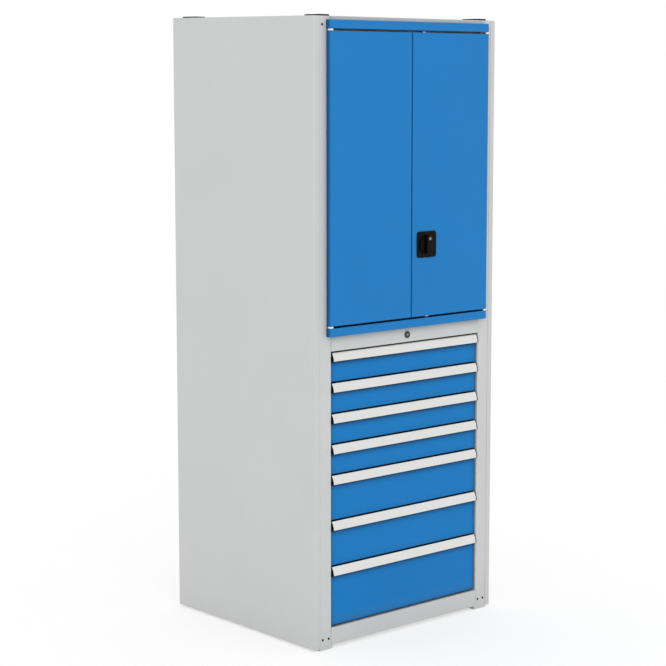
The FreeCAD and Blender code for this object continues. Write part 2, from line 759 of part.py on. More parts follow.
def make_knob():
    """Plate, turning knob with a winged grip, its key lock, and the cam on the spindle."""
    plate = new_body("knob_plate")
    face = new_sketch(plate, "XZ_Plane", None)
    centred_square(face, plate_size)
    pad(plate, face, plate_thickness)
    round_edges(plate, plate_corner, lambda middle, edge: front_to_back(edge))
    at_front = lambda middle, edge: abs(middle.y + number(plate_thickness)) < number(running_gap)
    chamfer_edges(plate, plate_edge, at_front)
    bore = new_sketch(plate, "XZ_Plane", None)
    circle(bore, zero, zero, spindle_radius + running_gap)
    pocket(plate, bore, plate_thickness, True)
    node(place(plate, knob_offset, door_front, knob_rise), "knob_plate")

    knob = new_body("door_knob")
    disc(knob, None, knob_base_radius, knob_base_thickness)
    wing = new_sketch(knob, "XZ_Plane", None)
    side = wing_width * half
    end = wing_straight * half
    grip = [(side, -end), (side, end), (-side, end), (-side, -end)]
    outline(wing, grip, {1: (wing_end_radius, True), 3: (wing_end_radius, True)})
    tall = knob_base_thickness + wing_height
    pad(knob, wing, tall)
    at_tip = lambda middle, edge: abs(middle.y + number(tall)) < number(running_gap)
    chamfer_edges(knob, wing_edge, at_tip)
    recess = new_sketch(knob, "XZ_Plane", tall)
    circle(recess, zero, key_offset, key_radius + running_gap)
    pocket(knob, recess, key_depth)
    knob_y = door_front - plate_thickness - fit_gap
    node(place(knob, knob_offset, knob_y, knob_rise), "door_knob")

    key_lock = new_body("knob_key_lock")
    disc(key_lock, None, key_radius, key_depth)
    key_slot(key_lock, key_depth)
    lock_y = knob_y - tall + key_depth
    node(place(key_lock, knob_offset, lock_y, knob_rise + key_offset), "knob_key_lock")

    cam = new_body("knob_cam")
    disc(cam, None, spindle_radius, cam_front - knob_y)
    crank = new_sketch(cam, "XZ_Plane", None)
    centred_square(crank, cam_size)
    pad(cam, crank, cam_thickness, True)
    pin_length = cam_thickness + fit_gap + rod_thickness
    for sign in (1, -1):
        disc(cam, None, crank_pin_radius, pin_length, True, (crank_offset * sign, crank_offset * sign))
    node(place(cam, knob_offset, cam_front, knob_rise), "knob_cam")


def make_rod(label, sign, end):
    """A flat rod with a slotted yoke round its crank pin; sign is 1 upward and -1 downward."""
    body = new_body(label)
    crank = crank_offset * -sign
    slot_half = crank_pin_radius + crank_slot_gap
    yoke_half = slot_half + yoke_margin
    swing = crank_offset * 2 ** half + slot_half
    slot_x = [crank_offset - slot_half, swing]
    yoke_x = [crank_offset - rod_width * half, swing + yoke_margin]
    side = -sign
    face = new_sketch(body, "XZ_Plane", None)
    bar = [crank_offset - rod_width * half, crank_offset + rod_width * half]
    low = crank - yoke_half * sign
    shoulder = crank + yoke_half * sign
    points = [(yoke_x[0] * side, low), (yoke_x[1] * side, low), (yoke_x[1] * side, shoulder)]
    points += [(bar[1] * side, shoulder), (bar[1] * side, end), (bar[0] * side, end)]
    outline(face, points)
    rectangle(face, (slot_x[0] * side, slot_x[1] * side), (crank - slot_half, crank + slot_half))
    pad(body, face, rod_thickness)
    node(place(body, knob_offset, rod_back, knob_rise), label)


def make_rods():
    top = door_bottom + door_height + rod_tip - knob_rise
    bottom = door_bottom - rod_tip - knob_rise
    make_rod("upper_lock_rod", 1, top)
    make_rod("lower_lock_rod", -1, bottom)


# Drawers and runners
def runner_level(top, pitch):
    return top - pitch + drawer_gap + tray_lift + runner_rise


def c_section(web, lips, sign, wall, tall):
    """A channel section whose web is at one X and whose lips reach towards another."""
    inner = web + wall * sign
    top = tall * half
    points = [(web, -top), (lips, -top), (lips, wall - top), (inner, wall - top)]
    points += [(inner, top - wall), (lips, top - wall), (lips, top), (web, top)]
    return points


def make_cabinet_runners():
    """The fixed runner of every drawer, left and right, screwed to the posts."""
    pieces = []
    for sign in (1, -1):
        web = half_opening * -sign
        body = new_body("left_runner" if sign == 1 else "right_runner")
        section = c_section(web, web + runner_flange * sign, sign, runner_sheet, runner_height)
        channel(body, runner_length, section)
        place(body, zero, front + runner_setback, runner_level(drawer_tops[0], pitches[0]))
        pieces.append(body)
        for top, pitch in list(zip(drawer_tops, pitches))[1:]:
            pieces.append(copy_of(body, zero, front + runner_setback, runner_level(top, pitch)))
    group("cabinet_runners", pieces)


def make_carriages():
    """The sliding carriage between the fixed runner and the drawer's own rail."""
    sources = []
    tall = (runner_height - runner_sheet * 2) * half - fit_gap
    for sign in (1, -1):
        outer = (half_opening - runner_sheet - carriage_side_gap) * -sign
        inner = (tray_half + runner_sheet + carriage_side_gap) * -sign
        middle = (outer + inner) * half
        near = middle - carriage_web * half * sign
        far = middle + carriage_web * half * sign
        waist = tall - carriage_flange
        points = [(outer, -tall), (inner, -tall), (inner, -waist), (far, -waist)]
        points += [(far, waist), (inner, waist), (inner, tall), (outer, tall)]
        points += [(outer, waist), (near, waist), (near, -waist), (outer, -waist)]
        body = new_body("left_carriage" if sign == 1 else "right_carriage")
        channel(body, carriage_length, points)
        sources.append(body)
    for index, (top, pitch) in enumerate(zip(drawer_tops, pitches), 1):
        level = runner_level(top, pitch)
        pair = [copy_of(source, zero, front + carriage_setback, level) for source in sources]
        group(f"drawer_{index}_carriages", pair)


def make_drawer_front(index, top, pitch):
    """A folded blue front, open at the back."""
    body = new_body(f"drawer_{index}_front")
    side = half_opening - drawer_side_gap
    tall = pitch - drawer_gap - grip_wall - fit_gap
    tray(body, "XZ_Plane", (-side, side), (zero, tall), drawer_front_depth, drawer_sheet)
    fold_front(body, -drawer_front_depth)
    node(place(body, zero, drawer_fold_back, top - pitch + drawer_gap), body.Name)


def make_drawer_tray(index, top, pitch):
    """An open tray with a rail along each side and a hook at the back for the lock bar."""
    body = new_body(f"drawer_{index}_tray")
    tall = pitch - drawer_gap - tray_lift - tray_below_top
    tray(body, "XY_Plane", (-tray_half, tray_half), (zero, tray_depth), tall, drawer_sheet, True)
    level = runner_rise - tall
    for sign in (1, -1):
        web = tray_half * -sign
        section = c_section(web, web - runner_flange * sign, -sign, runner_sheet, runner_height)
        rail = new_sketch(body, "XZ_Plane", None)
        outline(rail, [(x, z + level) for x, z in section])
        pad(body, rail, tray_depth, True)
    hook = new_sketch(body, "YZ_Plane", hook_width * -half)
    arm = -hook_drop
    back = tray_depth + hook_length
    low = arm - hook_sheet - hook_lip
    points = [(tray_depth, arm), (tray_depth, arm - hook_sheet), (back - hook_sheet, arm - hook_sheet)]
    points += [(back - hook_sheet, low), (back, low), (back, arm)]
    outline(hook, points)
    pad(body, hook, hook_width)
    node(place(body, zero, tray_front, top - tray_below_top), body.Name)


def make_grip_source():
    """An extruded grip: a bowed face that leans out at the bottom, a lip, and a top over the front."""
    bar = new_body("grip_bar")
    length = (half_opening - drawer_side_gap - grip_cap_width) * 2
    back = drawer_recess + grip_top_depth
    crown = drawer_recess - grip_wall
    nose = drawer_recess - grip_reach
    low = -grip_height
    section = new_sketch(bar, "YZ_Plane", None)
    points = [(back, zero), (crown, zero), (nose, low), (nose + grip_lip, low)]
    points += [(nose + grip_lip, low + grip_wall), (nose + grip_wall, low + grip_wall)]
    points += [(crown + grip_wall, -grip_wall), (back, -grip_wall)]
    inner_radius = grip_radius - grip_wall
    outline(section, points, {1: (grip_radius, True), 5: (inner_radius, False)})
    pad(bar, section, length)
    cap = new_body("grip_cap")
    face = new_sketch(cap, "YZ_Plane", None)
    rim = grip_cap_rim
    seat = drawer_recess - fit_gap
    points = [(seat, zero), (crown, zero), (nose - rim, low - rim), (seat, low - rim)]
    outline(face, points, {1: (grip_radius + rim, True)})
    pad(cap, face, grip_cap_width)
    return bar, cap, length


def make_grips():
    bar, cap, length = make_grip_source()
    start = length * -half
    for index, top in enumerate(drawer_tops, 1):
        pieces = [copy_of(bar, start, front, top)]
        pieces.append(copy_of(cap, start - grip_cap_width, front, top))
        pieces.append(copy_of(cap, start + length, front, top))
        group(f"drawer_{index}_grip", pieces)


def make_drawers():
    for index, (top, pitch) in enumerate(zip(drawer_tops, pitches), 1):
        make_drawer_front(index, top, pitch)
        make_drawer_tray(index, top, pitch)


# Drawer lock
def make_drawer_lock():
    """A fixed housing, the key plug with its shaft and crank, and the bar behind the drawers."""
    housing = new_body("lock_housing")
    bore = lock_plug_radius + running_gap
    for radius, length, backward in ((lock_head_radius, lock_head_thickness, False),
                                     (lock_housing_radius, lock_housing_length, True)):
        ring = new_sketch(housing, "XZ_Plane", None)
        circle(ring, zero, zero, radius)
        circle(ring, zero, zero, bore)
        pad(housing, ring, length, backward)
    node(place(housing, zero, front, lock_z), "lock_housing")

    plug = new_body("drawer_lock")
    bar_front = rear_inside - fit_gap - lock_bar_thickness
    shaft_length = bar_front - fit_gap - front
    disc(plug, None, lock_plug_radius, lock_head_thickness)
    disc(plug, None, lock_plug_radius, lock_housing_length, True)
    disc(plug, None, lock_shaft_radius, shaft_length, True)
    crank = new_sketch(plug, "XZ_Plane", lock_crank_thickness - shaft_length)
    centred_square(crank, lock_crank_size)
    pad(plug, crank, lock_crank_thickness, True)
    pin = (lock_crank_offset, -lock_crank_offset)
    disc(plug, -shaft_length, crank_pin_radius, lock_bar_thickness, True, pin)
    key_slot(plug, lock_head_thickness)
    node(place(plug, zero, front, lock_z), "drawer_lock")

    bar = new_body("lock_bar")
    face = new_sketch(bar, "XZ_Plane", None)
    side = lock_bar_width * half
    finger_drop = tray_below_top + hook_drop + hook_sheet + hook_lip + hook_clearance
    low = drawer_tops[-1] - finger_drop - hook_lip - hook_sheet - lock_z
    rectangle(face, (-side, side), (low, lock_bar_head - lock_crank_offset))
    slot_half = crank_pin_radius + crank_slot_gap
    swing = lock_crank_offset * 2 ** half + slot_half
    slot_z = (-lock_crank_offset - slot_half, slot_half - lock_crank_offset)
    rectangle(face, (lock_crank_offset - slot_half, swing), slot_z)
    pad(bar, face, lock_bar_thickness)
    finger_reach = bar_front - tray_front - tray_depth - hook_length + hook_sheet * 2 + hook_pitch
    for top in drawer_tops:
        lip_top = top - finger_drop - lock_z
        arm = lip_top - hook_lip
        finger = new_sketch(bar, "YZ_Plane", hook_width * -half)
        root = -lock_bar_thickness
        tip = root - finger_reach
        points = [(root, arm), (tip + hook_sheet, arm), (tip + hook_sheet, lip_top), (tip, lip_top)]
        points += [(tip, arm - hook_sheet), (root, arm - hook_sheet)]
        outline(finger, points)
        pad(bar, finger, hook_width)
    node(place(bar, zero, rear_inside - fit_gap, lock_z), "lock_bar")


def make_levelling_screws():
    """Threaded studs in the rear lip of the base, drawn as plain rods."""
    y = rear_inside - screw_rear_inset
    for label, sign in (("levelling_screw_left", -1), ("levelling_screw_right", 1)):
        body = new_body(label)
        section = new_sketch(body, "XY_Plane", None)
        circle(section, zero, zero, screw_radius)
        pad(body, section, screw_length)
        node(place(body, (half_opening - fit_gap - screw_side_inset) * sign, y, zero), label)


def check_document():
    """Stop before anything is written if an object failed or a shape is not sound."""
    for item in doc.Objects:
        if "Invalid" in item.State or "Error" in item.State:
            raise RuntimeError(f"{item.Label}: {item.State}")
    for item in nodes:
        shape = item.Shape
        if shape.isNull() or not shape.isValid() or not shape.Solids:
            raise RuntimeError(f"{item.Label}: no sound solid")


make_posts()
make_side_panels()
make_rear_panel()
make_top_panel()
make_base_panel()
make_divider()
make_corner_caps()
make_shelves()
make_doors()
make_hinge_pins()
make_knob()
make_rods()
make_cabinet_runners()
make_carriages()
make_drawers()
make_grips()
make_drawer_lock()
make_levelling_screws()
doc.recompute()
check_document()
os.makedirs("parts", exist_ok=True)
for item in nodes:
    item.Shape.exportStep(os.path.join("parts", item.Label + ".step"))
print(len(nodes), "nodes written")
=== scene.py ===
"""Looks of a tall sheet-steel storage cabinet: two blue doors over seven drawers with aluminium grips.

All lengths are in metres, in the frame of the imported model: +X right, +Y to the back, +Z up.
"""
import json
import math

import bmesh
import bpy
from mathutils import Matrix, Vector


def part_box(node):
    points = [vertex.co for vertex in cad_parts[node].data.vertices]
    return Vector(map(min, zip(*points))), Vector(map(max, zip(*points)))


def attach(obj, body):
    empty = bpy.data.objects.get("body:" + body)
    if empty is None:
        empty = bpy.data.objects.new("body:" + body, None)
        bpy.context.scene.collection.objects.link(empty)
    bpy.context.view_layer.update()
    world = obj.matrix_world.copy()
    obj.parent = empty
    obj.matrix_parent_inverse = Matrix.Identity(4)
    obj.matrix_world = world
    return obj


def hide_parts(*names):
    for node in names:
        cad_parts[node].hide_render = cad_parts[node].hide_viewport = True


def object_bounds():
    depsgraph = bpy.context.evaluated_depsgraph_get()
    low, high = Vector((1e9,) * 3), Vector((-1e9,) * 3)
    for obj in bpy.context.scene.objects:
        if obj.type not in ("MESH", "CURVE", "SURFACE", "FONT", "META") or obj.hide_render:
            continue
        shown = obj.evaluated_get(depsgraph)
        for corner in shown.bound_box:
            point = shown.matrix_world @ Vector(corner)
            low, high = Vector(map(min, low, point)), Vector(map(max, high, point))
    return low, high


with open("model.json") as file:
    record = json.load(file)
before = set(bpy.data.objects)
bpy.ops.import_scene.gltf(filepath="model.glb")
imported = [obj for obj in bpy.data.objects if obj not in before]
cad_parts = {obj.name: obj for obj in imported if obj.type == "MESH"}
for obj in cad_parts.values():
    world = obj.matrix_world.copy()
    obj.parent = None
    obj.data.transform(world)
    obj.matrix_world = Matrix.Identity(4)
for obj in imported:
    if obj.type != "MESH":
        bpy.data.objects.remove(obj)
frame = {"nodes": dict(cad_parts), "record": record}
cad_low, cad_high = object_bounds()
nodes = frame["nodes"]
drawer_numbers = range(1, 8)
# Outer sheets whose gaps get only faint painted shade
open_sheets = ("front_left_post", "front_right_post", "left_side_panel", "right_side_panel", "base_panel")

# Camera, fitted to the straight edges of the photograph
photo_size_px = 666
focal_px = 1890.235
centre_px = (450.0, 315.0)
camera_place = Vector((-4.1819, -4.8660, 1.8796))
camera_yaw = math.radians(44.0911)
camera_pitch = math.radians(7.5642)
camera_roll = math.radians(-0.4443)
camera_reach = 100.0
sensor_width_mm = 36.0

# Paint and metal colours, as linear light
grey_paint = (0.570, 0.582, 0.576)
blue_paint = (0.0050, 0.184, 0.500)
grey_dust = (0.45, 0.44, 0.42)
blue_dust = (0.20, 0.24, 0.30)
anodised = (0.78, 0.785, 0.77)
zinc = (0.60, 0.61, 0.63)
dark_nickel = (0.060, 0.062, 0.066)
# Pale nickel, painted on the key plugs as a highlight
highlight_nickel = (0.62, 0.62, 0.60)
black_plastic = (0.0025, 0.0025, 0.0028)
nylon = (0.82, 0.82, 0.80)
# A near-black colour that paints shade into tight gaps and under overhangs
painted_shade_dark = (0.004, 0.004, 0.005)

# Powder coat: tones as parts of the paint's own, the most that each effect may cover, and the peel's relief
drift_low_tone = 0.955
drift_high_tone = 1.045
peel_tone = 0.72
peel_share = 0.12
peel_bump = 0.20
peel_height = 0.0004
# Paler edges, in patches: paint worn thin there, and a painted edge highlight
edge_wear_highlight_tone = 1.35
edge_wear_highlight_share = 0.5
dust_share = 0.3
# The most that painted shade may darken a finish in its tight gaps
gap_shade_share = 0.97

# Light and floor
world_light = 1.0
key_power = 35.0
key_place = (-2.5, -4.5, 4.5)
key_aim = (0.0, 0.0, 1.0)
key_size = 3.5
floor_tone = 1.0
floor_white_share = 0.6
floor_half_width = 14.0

# Eased corners and smooth shading
# Gain of the edge mask that pales edges, as worn paint and as a painted highlight
edge_mask_gain = 6.0
sharp_angle = math.radians(32)
least_turn = math.radians(20)
corner_share = 0.45

# Drawer grip section: Y from the front of the posts, Z from the top of the drawer
grip_back = 0.015
grip_crown = 0.004
grip_nose = -0.006
grip_low = -0.0285
grip_lip = 0.004
grip_wall = 0.002
grip_radius = 0.046
grip_arc_steps = 14
grip_corner = 0.0008
grip_cap_width = 0.003
grip_cap_rim = 0.0006
grip_cap_seat = 0.0057

# Crank plate behind the door knob
cam_thickness = 0.0025
cam_corner = 0.005
cam_pin_length = 0.0068
cam_pin_offset = 0.009
cam_pin_radius = 0.0025
spindle_radius = 0.0059
shaft_ease_share = 0.15

# Levelling studs
thread_pitch = 0.0015
thread_depth = 0.0007
thread_flank_share = 0.46
thread_crest_half = 0.00008
thread_steps = 20
thread_runout = 1.5 * thread_pitch
stud_socket_depth = 0.004

# Threaded inserts in the post holes
insert_radius = 0.0029
insert_bore = 0.0021
insert_length = 0.007
insert_floor = 0.001
insert_sunk = 0.0002
insert_stand = 0.00005
insert_flange_radius = 0.0040
insert_flange_rise = 0.0005
hole_outer_inset = 0.0118
hole_spacing = 0.0244
hole_low = 0.035
hole_below_top = 0.032

# Runner screws, carriage balls and spot welds
screw_head_radius = 0.0040
screw_head_rise = 0.0017
screw_end_inset = 0.030
runner_sheet = 0.002
ball_radius = 0.0025
ball_pitch = 0.022
ball_first = 0.75 * ball_pitch
ball_rows_apart = 0.0202
ball_inset = 0.0004
ball_ring_degrees = (-54, -18, 18, 54)
weld_radius = 0.0032
weld_rise = 0.00035
weld_pitch = 0.090
weld_row_inset = 0.012
stiffener_setback = 0.003
stiffener_half = 0.030


def link(item):
    bpy.context.scene.collection.objects.link(item)
    return item


# Camera, light and floor
def make_camera():
    """The photograph's camera, with its image centre moved by the lens shift."""
    forward = Vector((math.sin(camera_yaw) * math.cos(camera_pitch),
                      math.cos(camera_yaw) * math.cos(camera_pitch), -math.sin(camera_pitch)))
    level_right = Vector((math.cos(camera_yaw), -math.sin(camera_yaw), 0.0))
    level_down = forward.cross(level_right)
    right = level_right * math.cos(camera_roll) + level_down * math.sin(camera_roll)
    down = level_down * math.cos(camera_roll) - level_right * math.sin(camera_roll)
    turn = Matrix((right, -down, -forward)).transposed()
    data = bpy.data.cameras.new("photo_camera")
    data.sensor_width = sensor_width_mm
    data.lens = focal_px * sensor_width_mm / photo_size_px
    half_size = photo_size_px / 2
    data.shift_x = (half_size - centre_px[0]) / photo_size_px
    data.shift_y = (centre_px[1] - half_size) / photo_size_px
    data.clip_end = camera_reach
    camera = link(bpy.data.objects.new("photo_camera", data))
    camera.matrix_world = Matrix.Translation(camera_place) @ turn.to_4x4()
    bpy.context.scene.camera = camera


def math_node(tree, operation, first, second, clamp=False):
    """One sum on sockets or plain numbers."""
    made = tree.nodes.new("ShaderNodeMath")
    made.operation = operation
    made.use_clamp = clamp
    for socket, value in zip(made.inputs, (first, second)):
        if isinstance(value, (int, float)):
            socket.default_value = value
        else:
            tree.links.new(value, socket)
    return made.outputs[0]


def seen_directly(tree):
    """1 for rays from the camera, from a reflection or through glass, and 0 for rays that gather light."""
    path = tree.nodes.new("ShaderNodeLightPath")
    seen = math_node(tree, "ADD", path.outputs["Is Camera Ray"], path.outputs["Is Glossy Ray"])
    return math_node(tree, "ADD", seen, path.outputs["Is Transmission Ray"], clamp=True)


def make_world():
    """Even white light all round, and plain white where the camera or a reflection sees it."""
    world = bpy.data.worlds.new("studio")
    bpy.context.scene.world = world
    world.use_nodes = True
    tree = world.node_tree
    tree.nodes.clear()
    mix = tree.nodes.new("ShaderNodeMixShader")
    tree.links.new(seen_directly(tree), mix.inputs[0])
    for socket, strength in ((mix.inputs[1], world_light), (mix.inputs[2], 1.0)):
        background = tree.nodes.new("ShaderNodeBackground")
        background.inputs["Color"].default_value = (1.0, 1.0, 1.0, 1.0)
        background.inputs["Strength"].default_value = strength
        tree.links.new(background.outputs[0], socket)
    output = tree.nodes.new("ShaderNodeOutputWorld")
    tree.links.new(mix.outputs[0], output.inputs["Surface"])


def make_key_lamp():
    """A large soft lamp, high up in front of the cabinet and to its left."""
    data = bpy.data.lights.new("key_lamp", "AREA")
    data.shape = "SQUARE"
    data.size = key_size
    data.energy = key_power
    lamp = link(bpy.data.objects.new("key_lamp", data))
    direction = Vector(key_aim) - Vector(key_place)
    turn = direction.to_track_quat("-Z", "Y").to_matrix().to_4x4()
    lamp.matrix_world = Matrix.Translation(key_place) @ turn


def make_floor():
    """A pale floor that keeps the cabinet's soft shadow and runs into the white background."""
    mesh = bpy.data.meshes.new("floor")
    reach = floor_half_width
    corners = [(-reach, -reach, 0.0), (reach, -reach, 0.0), (reach, reach, 0.0), (-reach, reach, 0.0)]
    mesh.from_pydata(corners, [], [(0, 1, 2, 3)])
    floor = link(bpy.data.objects.new("floor", mesh))
    material = bpy.data.materials.new("pale_floor")
    material.use_nodes = True
    tree = material.node_tree
    shader = tree.nodes["Principled BSDF"]
    shader.inputs["Base Color"].default_value = (floor_tone, floor_tone, floor_tone, 1.0)
    shader.inputs["Roughness"].default_value = 0.9
    shader.inputs["Specular IOR Level"].default_value = 0.0
    white = tree.nodes.new("ShaderNodeEmission")
    white.inputs["Strength"].default_value = 1.0
    mix = tree.nodes.new("ShaderNodeMixShader")
    tree.links.new(math_node(tree, "MULTIPLY", seen_directly(tree), floor_white_share), mix.inputs[0])
    tree.links.new(shader.outputs[0], mix.inputs[1])
    tree.links.new(white.outputs[0], mix.inputs[2])
    tree.links.new(mix.outputs[0], tree.nodes["Material Output"].inputs["Surface"])
    mesh.materials.append(material)


# Effects that the finishes share
def new_group(name, inputs, outputs):
    """A shader node group with named value inputs; an output is a value unless it is the normal."""
    tree = bpy.data.node_groups.new(name, "ShaderNodeTree")
    for label, value in inputs:
        socket = tree.interface.new_socket(label, in_out="INPUT", socket_type="NodeSocketFloat")
        socket.default_value = value
    for label in outputs:
        kind = "NodeSocketVector" if label == "Normal" else "NodeSocketFloat"
        tree.interface.new_socket(label, in_out="OUTPUT", socket_type=kind)
    return tree, tree.nodes.new("NodeGroupInput"), tree.nodes.new("NodeGroupOutput")


def noise_node(tree, vector, scale, detail, roughness=0.5):
    made = tree.nodes.new("ShaderNodeTexNoise")
    tree.links.new(vector, made.inputs["Vector"])
    if isinstance(scale, (int, float)):
        made.inputs["Scale"].default_value = scale
    else:
        tree.links.new(scale, made.inputs["Scale"])
    made.inputs["Detail"].default_value = detail
    made.inputs["Roughness"].default_value = roughness
    return made.outputs["Fac"]


def object_place(tree):
    return tree.nodes.new("ShaderNodeTexCoord").outputs["Object"]


def make_coat_group():
    """Powder coat: a fine peel, broad drifts of tone, and dust that settles near the floor."""
    inputs = [("Peel Scale", 700.0), ("Drift Scale", 2.5), ("Dust Height", 0.12)]
    tree, start, end = new_group("powder_coat", inputs, ["Peel", "Drift", "Dust"])
    place = object_place(tree)
    peel = noise_node(tree, place, start.outputs["Peel Scale"], detail=2.0)
    drift = noise_node(tree, place, start.outputs["Drift Scale"], detail=4.0, roughness=0.6)
    tree.links.new(peel, end.inputs["Peel"])
    tree.links.new(drift, end.inputs["Drift"])
    split = tree.nodes.new("ShaderNodeSeparateXYZ")
    tree.links.new(place, split.inputs[0])
    rise = math_node(tree, "DIVIDE", split.outputs["Z"], start.outputs["Dust Height"])
    near_floor = math_node(tree, "SUBTRACT", 1.0, rise, clamp=True)
    patch = noise_node(tree, place, scale=30.0, detail=5.0, roughness=0.65)
    tree.links.new(math_node(tree, "MULTIPLY", near_floor, patch), end.inputs["Dust"])
    return tree


def make_edge_group():
    """Rounds every sharp edge in the shading, and gives masks of those edges and of the tight gaps; the gap
    mask is ambient occlusion, used to paint shade.
    """
    inputs = [("Edge Radius", 0.0006), ("Gap Reach", 0.028), ("Gap Power", 1.6), ("Gap Strength", 1.0)]
    tree, start, end = new_group("edges_and_gaps", inputs, ["Normal", "Edge", "Gap"])
    bevel = tree.nodes.new("ShaderNodeBevel")
    bevel.samples = 4
    tree.links.new(start.outputs["Edge Radius"], bevel.inputs["Radius"])
    tree.links.new(bevel.outputs["Normal"], end.inputs["Normal"])
    flat = tree.nodes.new("ShaderNodeNewGeometry")
    compare = tree.nodes.new("ShaderNodeVectorMath")
    compare.operation = "DOT_PRODUCT"
    tree.links.new(bevel.outputs["Normal"], compare.inputs[0])
    tree.links.new(flat.outputs["Normal"], compare.inputs[1])
    turned = math_node(tree, "SUBTRACT", 1.0, compare.outputs["Value"])
    edge = math_node(tree, "MULTIPLY", turned, edge_mask_gain, clamp=True)
    tree.links.new(edge, end.inputs["Edge"])
    # Painted shade: ambient occlusion marks the gaps and overhangs that the finishes darken
    shelter = tree.nodes.new("ShaderNodeAmbientOcclusion")
    shelter.samples = 6
    tree.links.new(start.outputs["Gap Reach"], shelter.inputs["Distance"])
    closed = math_node(tree, "SUBTRACT", 1.0, shelter.outputs["AO"])
    depth = math_node(tree, "POWER", closed, start.outputs["Gap Power"])
    gap = math_node(tree, "MULTIPLY", depth, start.outputs["Gap Strength"], clamp=True)
    tree.links.new(gap, end.inputs["Gap"])
    return tree


def make_streak_group():
    """Fine lines drawn along X, as an extrusion die or a roller leaves them."""
    tree, start, end = new_group("drawn_lines", [("Fineness", 900.0), ("Length", 0.004)], ["Lines"])
    split = tree.nodes.new("ShaderNodeSeparateXYZ")
    tree.links.new(object_place(tree), split.inputs[0])
    join = tree.nodes.new("ShaderNodeCombineXYZ")
    stretched = math_node(tree, "MULTIPLY", split.outputs["X"], start.outputs["Length"])
    tree.links.new(stretched, join.inputs["X"])
    tree.links.new(split.outputs["Y"], join.inputs["Y"])
    tree.links.new(split.outputs["Z"], join.inputs["Z"])
    lines = noise_node(tree, join.outputs[0], start.outputs["Fineness"], detail=3.0, roughness=0.6)
    tree.links.new(lines, end.inputs["Lines"])
    return tree


coat_group = make_coat_group()
edge_group = make_edge_group()
streak_group = make_streak_group()


# Finishes
class Finish:
    """A material being built: its tree, its shader and the small steps that the finishes share."""

    def __init__(self, name):
        self.material = bpy.data.materials.new(name)
        self.material.use_nodes = True
        self.tree = self.material.node_tree
        self.shader = self.tree.nodes["Principled BSDF"]

    def group(self, tree, **values):
        """Place a shared effect, with its inputs given by their names in small letters."""
        made = self.tree.nodes.new("ShaderNodeGroup")
        made.node_tree = tree
        for label, value in values.items():
            made.inputs[label.replace("_", " ").title()].default_value = value
        return made.outputs

    def noise(self, scale, detail, roughness=0.5):
        return noise_node(self.tree, object_place(self.tree), scale, detail, roughness)

    def plain(self, label, value):
        self.shader.inputs[label].default_value = value

    def feed(self, label, socket):
        self.tree.links.new(socket, self.shader.inputs[label])

    def ramp(self, mask, low, high):
        """Map a mask from 0 to 1 on to a range of values."""
        made = self.tree.nodes.new("ShaderNodeMapRange")
        self.tree.links.new(mask, made.inputs["Value"])
        made.inputs["To Min"].default_value = low
        made.inputs["To Max"].default_value = high
        return made.outputs["Result"]

    def part(self, mask, most):
        """A mask that is brought down to cover no more than the given share."""
        return self.ramp(mask, 0.0, most)

    def both(self, first, second):
        return math_node(self.tree, "MULTIPLY", first, second)

    def blend(self, mask, low, high):
        """Mix two colours, or a socket and a colour, by a mask."""
        made = self.tree.nodes.new("ShaderNodeMix")
        made.data_type = "RGBA"
        self.tree.links.new(mask, made.inputs["Factor"])
        for label, colour in (("A", low), ("B", high)):
            socket = next(item for item in made.inputs if item.name == label and item.type == "RGBA")
            if isinstance(colour, tuple):
                socket.default_value = (*colour, 1.0)
            else:
                self.tree.links.new(colour, socket)
        return next(item for item in made.outputs if item.type == "RGBA")

    def bump(self, height, strength, distance, normal):
        """Raise the surface a little by a mask, over the given normal."""
        made = self.tree.nodes.new("ShaderNodeBump")
        made.inputs["Strength"].default_value = strength
        made.inputs["Distance"].default_value = distance
        self.tree.links.new(height, made.inputs["Height"])
        self.tree.links.new(normal, made.inputs["Normal"])
        self.feed("Normal", made.outputs["Normal"])


def shade(colour, factor):
    return tuple(channel * factor for channel in colour)


def powder_finish(name, colour, dust_tone, roughness, gloss, **gap):
    """Satin powder coat over sheet steel, paler on its edges as worn paint and a painted highlight, with
    painted shade darkening its tight gaps.
    """
    finish = Finish(name)
    coat = finish.group(coat_group)
    edges = finish.group(edge_group, **gap)
    tone = finish.blend(coat["Drift"], shade(colour, drift_low_tone), shade(colour, drift_high_tone))
    tone = finish.blend(finish.part(coat["Peel"], peel_share), tone, shade(colour, peel_tone))
    # Edges paled in patches: worn paint and a painted edge highlight
    patches = finish.part(finish.noise(scale=60.0, detail=4.0), edge_wear_highlight_share)
    tone = finish.blend(finish.both(edges["Edge"], patches), tone, shade(colour, edge_wear_highlight_tone))
    tone = finish.blend(finish.part(coat["Dust"], dust_share), tone, dust_tone)
    # Painted shade: the gap mask darkens the coat in gaps and under overhangs
    finish.feed("Base Color", finish.blend(finish.part(edges["Gap"], gap_shade_share), tone, painted_shade_dark))
    finish.feed("Roughness", finish.ramp(coat["Drift"], low=roughness - 0.05, high=roughness + 0.07))
    finish.plain("Specular IOR Level", gloss)
    finish.bump(coat["Peel"], peel_bump, peel_height, edges["Normal"])
    return finish.material


def grey_coat(name, gap_power, gap_strength):
    return powder_finish(name, grey_paint, grey_dust, roughness=0.50, gloss=0.35,
                         gap_power=gap_power, gap_strength=gap_strength)


def blue_coat(name, gloss, gap_strength):
    return powder_finish(name, blue_paint, blue_dust, roughness=0.46, gloss=gloss,
                         gap_power=1.0, gap_strength=gap_strength)


